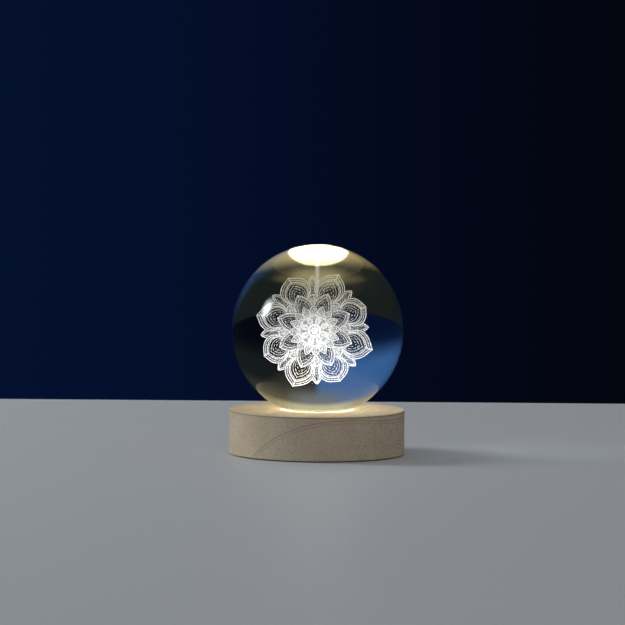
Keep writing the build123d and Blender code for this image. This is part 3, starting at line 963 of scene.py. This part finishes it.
@dataclass(frozen=True)
class Cover:
    """A ring of petals that hides what lies behind it."""

    shape: PetalShape
    turn: float

    def hides(self, points: Points, own_turn: float) -> Points:
        """Whether each point lies behind one of the ring's petals.

        Args:
            points: Points in the frame of a petal that points up.
            own_turn: That petal's own turn.

        Returns:
            A truth value for each.
        """
        away, angle = polar(points)
        angle = angle + own_turn - self.turn
        folded = np.radians((angle + HALF_STEP) % STEP_ANGLE - HALF_STEP)
        width = self.shape.width_at(away * np.cos(folded), CLEARANCE)
        return np.abs(away * np.sin(folded)) < width


@dataclass(frozen=True)
class Contour:
    """One of a petal's nested lines, inset by a share of its half width."""

    share: float
    width: float
    dash: float = 0.0
    gap: float = 0.0
    beads: float = 0.0
    ticks: float = 0.0


@dataclass(frozen=True)
class PetalRing:
    """A ring of like petals with nested contours and a stippled fill."""

    node: str
    shape: PetalShape
    turns: tuple[float, ...]
    contours: tuple[Contour, ...]
    covers: tuple[Cover, ...]
    seed: int
    depth: float
    lift: float
    stipple: float
    hidden: float
    bead: float = 0.075
    mitre: float = 0.0
    mitre_width: float = 0.16
    tick_width: float = 0.13

    def shown(self, points: Points, turn: float) -> Points:
        """Whether each point of the petal with this turn is in sight."""
        clear = np.hypot(points[:, 0], points[:, 1]) > self.hidden
        for cover in self.covers:
            clear &= ~cover.hides(points, turn)
        return clear

    def draw_contours(self, layer: Engraver, turn: float) -> None:
        """Adds a petal's nested lines to a layer.

        Args:
            layer: The layer.
            turn: The petal's turn.
        """
        for contour in self.contours:
            path = even(self.shape.outline(contour.share * self.shape.half_width))
            for run in runs(path, self.shown(path, turn)):
                self.draw_run(layer, run, contour)

    def draw_run(self, layer: Engraver, run: Points, contour: Contour) -> None:
        """Adds one stretch of a contour, whole, in dashes or in ticks, with its beads.

        Args:
            layer: The layer.
            run: The stretch's points.
            contour: The contour that it is part of.
        """
        if contour.ticks:
            self.draw_ticks(layer, run, contour)
        elif contour.dash:
            period = contour.dash + contour.gap
            distance = np.arange(len(run)) * PATH_STEP + layer.chance.uniform(0.0, period)
            for dash in runs(run, (distance % period) < contour.dash):
                layer.line(dash, contour.width)
        else:
            layer.line(run, contour.width)
        if contour.beads:
            count = int(len(run) * PATH_STEP * contour.beads)
            picked = run[layer.chance.integers(0, len(run), count)]
            layer.dots(picked + layer.chance.normal(0.0, 0.07, picked.shape), self.bead)

    def draw_ticks(self, layer: Engraver, run: Points, contour: Contour) -> None:
        """Adds short uneven strokes across a stretch of a contour.

        Args:
            layer: The layer.
            run: The stretch's points.
            contour: The contour that it is part of.
        """
        path = even(run, contour.ticks)
        leans = layer.chance.normal(0.0, 0.45, len(path))
        lengths = contour.width * layer.chance.uniform(0.45, 1.15, len(path))
        for place, (x, y), lean, length in zip(path, directions(path), leans, lengths):
            across = np.array((-y + lean * x, x + lean * y))
            layer.line(place + np.outer((-0.5, 0.5), across) * length, self.tick_width)

    def draw_fill(self, layer: Engraver, turn: float) -> None:
        """Adds a petal's stippled fill to a layer, denser towards its root.

        Args:
            layer: The layer.
            turn: The petal's turn.
        """
        shape = self.shape
        low = max(shape.root, self.hidden)
        count = int(2 * shape.half_width * (shape.tip - low) * self.stipple)
        across = layer.chance.uniform(-shape.half_width, shape.half_width, count)
        along = low + (shape.tip - low) * layer.chance.uniform(0, 1, count) ** 1.25
        places = np.column_stack((across, along))
        inside = np.abs(across) < shape.width_at(along) * 0.94
        layer.dots(places[inside & self.shown(places, turn)], self.bead)

    def build(self, material: bpy.types.Material) -> bpy.types.Object:
        """Makes the ring's piece.

        Args:
            material: The engraving's material.

        Returns:
            The new object.
        """
        whole = Engraver(self.seed, self.depth, self.lift)
        for turn in self.turns:
            layer = Engraver(self.seed + int(turn * 10), self.depth, self.lift)
            self.draw_contours(layer, turn)
            self.draw_fill(layer, turn)
            if self.mitre:
                spine = np.array(((0.0, self.shape.tip - self.mitre), (0.0, self.shape.tip)))
                layer.line(even(spine, 0.2), self.mitre_width)
            layer.turned(turn)
            whole.take(layer)
        return whole.piece(f"rosette_{self.node}", self.node, material)


ROUNDED = dict(root_share=0.5, belly=0.55, across=0.72, along=0.88, nest=1.0, lean=4.0)


@dataclass
class EngravedRosette:
    """The rosette: five rings of petals, one behind the other, round a heart of rings and
    buds. Sizes in millimetres, since it is drawn like a plan."""

    outer: PetalShape = PetalShape(8.6, 18.9, 4.6)
    between: PetalShape = PetalShape(9.4, 16.9, 1.5, 0.5, 0.5, 0.66, 0.84, 1.3, 1.2)
    leaf: PetalShape = PetalShape(6.6, 11.2, 1.85, **ROUNDED)
    mid: PetalShape = PetalShape(4.0, 12.3, 2.7, across=0.58)
    inner: PetalShape = PetalShape(3.9, 8.1, 1.12, across=0.58, lean=0.7)
    bud: PetalShape = PetalShape(2.35, 4.35, 0.8, **ROUNDED)
    heart_radius: float = 4.75
    heart_depth: float = -1.2
    heart_beads: int = 5200
    heart_bead: float = 0.065

    def rings(self) -> list[PetalRing]:
        """The five rings of petals, from the back to the front.

        Returns:
            The rings.
        """
        upright, turned = (0.0,), (HALF_STEP,)
        over_outer = Cover(self.outer, HALF_STEP)
        over_leaf = Cover(self.leaf, 0.0)
        over_mid = Cover(self.mid, HALF_STEP)
        over_inner = (Cover(self.inner, 0.0), Cover(self.inner, HALF_STEP))
        edge = self.heart_radius + CLEARANCE
        between_lines = (Contour(0.0, 0.24, beads=2), Contour(0.32, 0.12, beads=2))
        outer_lines = (
            Contour(0.0, 0.24, beads=2),
            Contour(0.11, 0.42, ticks=0.34, beads=5),
            Contour(0.22, 0.17, beads=1),
            Contour(0.265, 0.05, beads=3),
            Contour(0.31, 0.10),
            Contour(0.45, 0.10, beads=1),
            Contour(0.58, 0.09, 1.2, 0.2),
            Contour(0.72, 0.09, 0.8, 0.4),
            Contour(0.86, 0.09, 0.5, 0.5),
        )
        middle_lines = (
            Contour(0.0, 0.25, beads=2),
            Contour(0.11, 0.06, beads=4),
            Contour(0.28, 0.15, beads=1),
            Contour(0.50, 0.10, 0.5, 0.6, 1),
            Contour(0.72, 0.10, 0.3, 0.7, 1),
        )
        inner_lines = (Contour(0.0, 0.22, beads=3), Contour(0.5, 0.08))
        return [
            PetalRing(
                "between_petals", self.between, upright, between_lines, (over_outer,),
                seed=11, depth=1.8, lift=-0.2, stipple=16.0, hidden=self.leaf.tip + CLEARANCE,
            ),
            PetalRing(
                "outer_petals", self.outer, turned, outer_lines, (over_leaf, over_mid, *over_inner),
                seed=23, depth=1.2, lift=0.5, stipple=2.5, hidden=edge, mitre=2.6,
            ),
            PetalRing(
                "soft_leaves", self.leaf, upright, (Contour(0.0, 0.27, beads=4),),
                (over_mid, *over_inner), seed=37, depth=0.6, lift=0.1, stipple=58.0, hidden=edge,
            ),
            PetalRing(
                "middle_petals", self.mid, turned, middle_lines, over_inner,
                seed=41, depth=0.0, lift=0.5, stipple=11.0, hidden=edge, bead=0.07, mitre=1.4,
            ),
            PetalRing(
                "inner_petals", self.inner, upright + turned, inner_lines, (),
                seed=53, depth=-0.6, lift=0.2, stipple=60.0, hidden=edge, bead=0.07,
            ),
        ]

    def heart(self, material: bpy.types.Material) -> bpy.types.Object:
        """Makes the heart: a scalloped rim, rings, an eye and eight buds.

        Args:
            material: The engraving's material.

        Returns:
            The new object.
        """
        layer = Engraver(67, self.heart_depth)
        angle = np.linspace(0, 2 * math.pi, 145)
        scallop = self.heart_radius - CLEARANCE + 0.1 * np.abs(np.cos(4 * angle))
        layer.line(round_middle(angle, scallop), 0.42)
        for radius, width in ((1.85, 0.6), (0.82, 0.42), (0.22, 0.2)):
            layer.line(round_middle(angle, np.full(len(angle), radius)), width)
        share = layer.chance.uniform(0.0, 1.0, self.heart_beads)
        where = layer.chance.uniform(0, 2 * math.pi, self.heart_beads)
        layer.dots(round_middle(where, self.heart_radius * np.sqrt(share)), self.heart_bead)
        buds = Engraver(68, self.heart_depth)
        for inset, width in ((0.0, 0.22), (0.2, 0.16), (0.4, 0.16), (0.6, 0.16)):
            buds.line(even(self.bud.outline(inset)), width)
        buds.turned(HALF_STEP)
        layer.take(buds)
        return layer.piece("rosette_centre", "rosette_heart", material)

    def build(self, finish: EngravingFinish) -> list[bpy.types.Object]:
        """Makes all six layers.

        Args:
            finish: The engraving's finish.

        Returns:
            The new objects.
        """
        material = finish.make()
        return [*(ring.build(material) for ring in self.rings()), self.heart(material)]


@dataclass
class SwitchSpring:
    """The button's return spring: an open coil, made at one length."""

    radius: float = 0.00135
    wire: float = 0.00015
    turns: int = 3
    steps: int = 36
    sides: int = 8
    pressed_share: float = 0.53
    seat: float = 0.00005
    steel: PlainFinish = PlainFinish(
        "drawn_wire", (0.60, 0.61, 0.63), Texture.BRUSHED, 0.3, 1.0
    )

    def build(self) -> bpy.types.Object:
        """Makes the spring where the CAD model has it.

        Returns:
            The spring's object.
        """
        low, high = (np.array(corner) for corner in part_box("switch_spring"))
        middle = (low + high) / 2
        share = np.linspace(0.0, 1.0, self.turns * self.steps + 1)
        angle = 2 * math.pi * self.turns * share
        outward = np.column_stack((np.sin(angle), np.zeros_like(angle), np.cos(angle)))
        path = middle + outward * self.radius
        path[:, 1] = low[1] + self.wire + (high[1] - low[1] - 2 * self.wire) * share
        beside = np.cross(directions(path), outward)
        rings = []
        for turn in 2 * math.pi * np.arange(self.sides) / self.sides:
            rings.append(path + self.wire * (math.cos(turn) * outward + math.sin(turn) * beside))
        points = np.stack(rings, axis=1).reshape(-1, 3)
        walls, ends = tube(len(path), self.sides)
        faces = [*walls.tolist(), *ends.tolist()]
        coil = new_mesh("return_spring", points, faces, self.steel.make(), smooth=True)
        spring = own_piece(coil, "base", "switch_spring")
        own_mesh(spring)
        return spring


@dataclass
class LampBase:
    """The CAD nodes that keep their own shape, with their finishes."""

    wood: BeechFinish = BeechFinish()
    diffuser: DiffuserFinish = DiffuserFinish()
    ring: LitRingFinish = LitRingFinish()

    def finishes(self) -> dict[Finish, tuple[str, ...]]:
        """The finishes, each with the CAD nodes that have it.

        Returns:
            Node names by finish.
        """
        brushed, spark, foam, traces = Texture.BRUSHED, Texture.SPARK, Texture.FOAM, Texture.TRACES
        red, black = (0.62, 0.05, 0.04), (0.03, 0.03, 0.03)
        plain = {
            PlainFinish("foot_foam", (0.05, 0.05, 0.055), foam, 0.85): ("foot_pad",),
            PlainFinish("spark_black", (0.045, 0.045, 0.05), spark, relief=0.5): (
                "bottom_plate", "port_bezel",
            ),
            PlainFinish("zinc_plated_steel", (0.66, 0.67, 0.69), brushed, 0.32, 1.0): (
                "bottom_plate_screws", "light_cup_screws", "lamp_board_screws",
                "control_board_screws",
            ),
            PlainFinish(
                "lit_white_cup", (0.93, 0.91, 0.86), glow=(1.0, 0.84, 0.52), glow_strength=24.0
            ): ("light_cup",),
            PlainFinish(
                "white_board", (0.86, 0.86, 0.84), traces, 0.4, coat=0.3,
                trace_colour=(0.74, 0.74, 0.72),
            ): ("lamp_board",),
            PlainFinish(
                "yellow_lens", (0.95, 0.78, 0.30), roughness=0.25, glow=(1.0, 0.75, 0.30),
                glow_strength=6.0,
            ): ("lamp_leds",),
            PlainFinish("chip_black", (0.035, 0.035, 0.04), spark, 0.6, relief=0.4): (
                "lamp_resistors", "charge_chip", "socket_tongue", "switch_housing",
            ),
            PlainFinish("matt_foil", (0.74, 0.76, 0.78), Texture.FOIL, 0.38, 0.9, 0.6): (
                "battery",
            ),
            PlainFinish("white_tape", (0.88, 0.88, 0.85), foam, 0.7): ("battery_tape",),
            PlainFinish(
                "green_board", (0.03, 0.20, 0.09), traces, 0.35, coat=0.4,
                trace_colour=(0.06, 0.30, 0.13),
            ): ("control_board",),
            PlainFinish("fired_ceramic", (0.55, 0.45, 0.33), roughness=0.45): (
                "control_board_parts",
            ),
            PlainFinish("satin_steel", (0.72, 0.73, 0.75), brushed, 0.28, 1.0): ("socket_shell",),
            PlainFinish("polished_black", (0.09, 0.09, 0.10), roughness=0.22, relief=0.08, coat=0.5): (
                "power_button",
            ),
        }
        leads = {
            PlainFinish("red_cover", red, roughness=0.45): ("positive_lamp_lead",),
            PlainFinish("black_cover", black, roughness=0.45): ("negative_lamp_lead",),
            PlainFinish("red_cover_2", red, roughness=0.45): ("positive_battery_lead",),
            PlainFinish("black_cover_2", black, roughness=0.45): ("negative_battery_lead",),
        }
        special = {
            self.wood: ("wooden_base",), self.diffuser: ("diffuser_disc",), self.ring: ("seat_ring",)
        }
        return {**plain, **leads, **special}

    def dress(self) -> None:
        """Puts each finish on all slots of its CAD nodes."""
        for finish, names in self.finishes().items():
            material = finish.make()
            for name in names:
                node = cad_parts[name]
                if not node.material_slots:
                    node.data.materials.append(material)
                for slot in node.material_slots:
                    slot.material = material
                log.info("%s: %s", name, material.name)


@dataclass
class Studio:
    """The pale table, the dark room behind it, the lights and the camera."""

    table_back: float = 0.265
    table_front: float = -2.6
    table_side: float = 2.6
    table_drop: float = 0.00005
    table_shade: Colour = (0.60, 0.61, 0.63)
    table_pale: Colour = (0.64, 0.65, 0.67)
    # Painted lamp light on the table, shown only in the glass: a pool, a patch and a streak
    pool_colour: Colour = (0.42, 0.34, 0.13)
    light_patch_colour: Colour = (0.26, 0.22, 0.10)
    light_streak_colour: Colour = (0.50, 0.50, 0.40)
    # Painted warm glow of the lamp's light at the top of the room
    overhead_glow: Colour = (0.52, 0.50, 0.31)
    overhead_glow_side: Colour = (0.23, 0.20, 0.09)
    soft_light: Colour = (0.90, 0.94, 1.0)
    soft_strength: float = 0.28
    lamp_light: Colour = (1.0, 0.86, 0.52)
    light_target: tuple[float, float, float] = (0.0, 0.0, 0.045)
    distance: float = 3.0
    sensor: float = 36.0
    span: float = PHOTO_SIDE * 0.4647 * MM
    aim_across: float = 5.2 / PHOTO_SIDE
    aim_down: float = 17.85 / PHOTO_SIDE
    elevation: float = 4.5
    roll: float = 0.45

    def through_glass(self, recipe: Recipe, grain: Socket) -> Socket:
        """The table as the glass shows it: dark, with a painted pool of the lamp's light round
        the base, a faint painted patch of that light behind it and a thin painted streak of light.

        Args:
            recipe: The table's material.
            grain: The table's fine grain.

        Returns:
            The colour.
        """
        across, along, _ = recipe.axes()
        aside = recipe.math("ABSOLUTE", recipe.minus(across, 0.0008))
        behind = recipe.length(recipe.product(across, 2.6), along)
        beside = recipe.length(recipe.math("MULTIPLY_ADD", across, 1.6, -0.006), along)
        # A painted patch of the lamp's light behind the base
        light_patch = recipe.product(
            recipe.fall(behind, 0.152, 0.176),
            recipe.range(aside, 0.010, 0.030, 1.0, 0.32),
            recipe.range(along, 0.105, 0.135),
        )
        # A thin painted streak of light
        streak = recipe.product(
            recipe.fall(aside, 0.0004, 0.0024, 0.7), recipe.fall(along, 0.170, 0.200)
        )
        colour = recipe.blend(grain, (0.008, 0.011, 0.010), (0.011, 0.014, 0.012))
        colour = recipe.blend(light_patch, colour, self.light_patch_colour)
        colour = recipe.blend(streak, colour, self.light_streak_colour)
        return recipe.blend(recipe.range(beside, 0.072, 0.114), self.pool_colour, colour)

    def table(self) -> None:
        """Makes the table top."""
        recipe = Recipe(bpy.data.materials.new("pale_table"))
        grain = recipe.noise(240.0)
        colour = recipe.blend(grain, self.table_shade, self.table_pale)
        pale = recipe.node("BsdfPrincipled", {"Base Color": colour, "Roughness": 0.5})
        dim = recipe.node("Emission", {"Color": self.through_glass(recipe, grain)})
        through = recipe.highest(recipe.ray("Transmission"), recipe.ray("Glossy"))
        material = recipe.either(through, pale, dim)
        side, back, front = self.table_side, self.table_back, self.table_front
        corners = [(-side, front), (side, front), (side, back), (-side, back)]
        vertices = [(x, y, -self.table_drop) for x, y in corners]
        new_mesh("table_top", vertices, [(0, 1, 2, 3)], material)

    def room(self) -> None:
        """Writes the world: a dark room where it is seen, with a painted warm glow of the
        lamp's light at its top, and plain soft light on surfaces.
        """
        world = bpy.data.worlds.new("room")
        bpy.context.scene.world = world
        recipe = Recipe(world, "OutputWorld", "Generated")
        across, _, height = recipe.axes()
        right = recipe.range(across, -0.05, 0.05)
        seen = recipe.blend(right, (0.0012, 0.0055, 0.028), (0.001, 0.0016, 0.005))
        middle = recipe.blend(right, (0.040, 0.120, 0.320), (0.008, 0.011, 0.012))
        left = recipe.range(across, -0.45, 0.0)
        upper = recipe.blend(left, (0.045, 0.125, 0.310), (0.130, 0.150, 0.165))
        upper = recipe.blend(recipe.range(across, 0.10, 0.36), upper, (0.050, 0.052, 0.036))
        aside = recipe.range(recipe.math("ABSOLUTE", across), 0.20, 0.55)
        # The room's top, where it is seen, is a painted warm glow of the lamp's light
        top = recipe.blend(aside, self.overhead_glow, self.overhead_glow_side)
        for start, end, colour in ((-0.01, 0.26, middle), (0.38, 0.62, upper), (0.64, 0.76, top)):
            seen = recipe.blend(recipe.range(height, start, end), seen, colour)
        glossy, through = recipe.ray("Glossy"), recipe.ray("Transmission")
        mirrored = recipe.product(
            recipe.fall(across, -0.68, -0.50), recipe.highest(recipe.minus(glossy, through), 0.0)
        )
        seen = recipe.blend(mirrored, seen, (0.008, 0.011, 0.011))
        light = {"Color": (*self.soft_light, 1.0), "Strength": self.soft_strength}
        soft = recipe.node("Background", light)
        shown = recipe.node("Background", {"Color": seen, "Strength": 1.0})
        recipe.either(recipe.highest(recipe.ray("Camera"), glossy, through), soft, shown)

    def lamp(
        self, name: str, kind: str, place: Vector, power: float, colour: Colour
    ) -> bpy.types.Object:
        """Adds a light that no camera or mirrored ray shows.

        Args:
            name: Its name.
            kind: Its kind of light.
            place: Where it hangs.
            power: Its power in watts.
            colour: Its colour.

        Returns:
            The light's object.
        """
        data = bpy.data.lights.new(name, kind)
        data.energy = power
        data.color = colour
        light = in_scene(name, data)
        light.location = place
        for ray in ("camera", "glossy", "transmission"):
            setattr(light, f"visible_{ray}", False)
        return light

    def softbox(
        self, name: str, place: Vector, power: float, colour: Colour, size: tuple[float, float]
    ) -> bpy.types.Object:
        """Adds a round soft light that faces the lamp.

        Args:
            name: Its name.
            place: Where it hangs.
            power: Its power in watts.
            colour: Its colour.
            size: Its width and its height.

        Returns:
            The light's object.
        """
        light = self.lamp(name, "AREA", place, power, colour)
        light.data.shape = "ELLIPSE"
        light.data.size, light.data.size_y = size
        target = Vector(self.light_target) - place
        light.rotation_euler = target.to_track_quat("-Z", "Y").to_euler()
        return light

    def fade(self, light: bpy.types.Object) -> None:
        """Makes a softbox fade from its middle to nothing at its edge.

        Args:
            light: The softbox.
        """
        recipe = Recipe(light.data, "OutputLight")
        place = recipe.node("NewGeometry").outputs["Parametric"]
        away = recipe.distance(place, (0.5, 0.5, 0.0))
        inside = recipe.math("MULTIPLY_ADD", recipe.product(away, away), -4.0, 1.0)
        fall = recipe.math("POWER", recipe.highest(inside, 0.0), 3.0)
        recipe.finish(recipe.node("Emission", {"Strength": fall}))

    def lights(self) -> None:
        """Adds the studio lights and the lamp's own light in the foot of the ball."""
        above = Vector((-0.905, -0.165, 0.390)) * 2.0 + Vector(BALL_MIDDLE)
        shine = self.softbox("shine", above, 58.0, (0.86, 0.94, 1.0), (0.80, 1.2))
        shine.visible_diffuse = False
        shine.visible_glossy = True
        self.fade(shine)
        beside = Vector((-0.894, 0.218, 0.390)) * 2.0
        self.softbox("key", beside, 20.0, (0.93, 0.97, 1.0), (0.50, 0.70))
        self.softbox("fill", Vector((0.6, -1.9, 1.1)), 3.0, (1.0, 0.99, 0.97), (0.9, 0.9))
        foot = self.lamp("foot_glow", "POINT", Vector((0, 0, 0.030)), 0.016, self.lamp_light)
        foot.data.shadow_soft_size = 0.007

    def camera(self) -> None:
        """Places the camera so that the ball falls where the photograph has it."""
        data = bpy.data.cameras.new("camera")
        data.sensor_width = self.sensor
        data.lens = self.sensor / (self.span / self.distance)
        data.clip_start, data.clip_end = 0.05, 40.0
        lean = math.radians(self.elevation)
        ahead = Vector((0, math.cos(lean), -math.sin(lean)))
        turn = ahead.to_track_quat("-Z", "Y").to_matrix()
        turn = turn @ Matrix.Rotation(math.radians(self.roll), 3, "Z")
        right, up = turn @ Vector((1, 0, 0)), turn @ Vector((0, 1, 0))
        across, down = self.aim_across * self.span, self.aim_down * self.span
        camera = in_scene("camera", data)
        camera.location = Vector(BALL_MIDDLE) - ahead * self.distance - right * across + up * down
        camera.rotation_euler = turn.to_euler()
        bpy.context.scene.camera = camera

    def build(self) -> None:
        """Sets the whole studio up."""
        self.camera()
        self.table()
        self.room()
        self.lights()
        bpy.context.scene.view_settings.view_transform = "Standard"


def main() -> None:
    """Builds the studio and the lamp, piece by piece."""
    logging.basicConfig(level=logging.INFO, format="%(name)s: %(message)s")
    Studio().build()
    LampBase().dress()
    SwitchSpring().build()
    GlassBall().build(ClearGlassFinish())
    EngravedRosette().build(EngravingFinish())


if __name__ == "__main__":
    main()
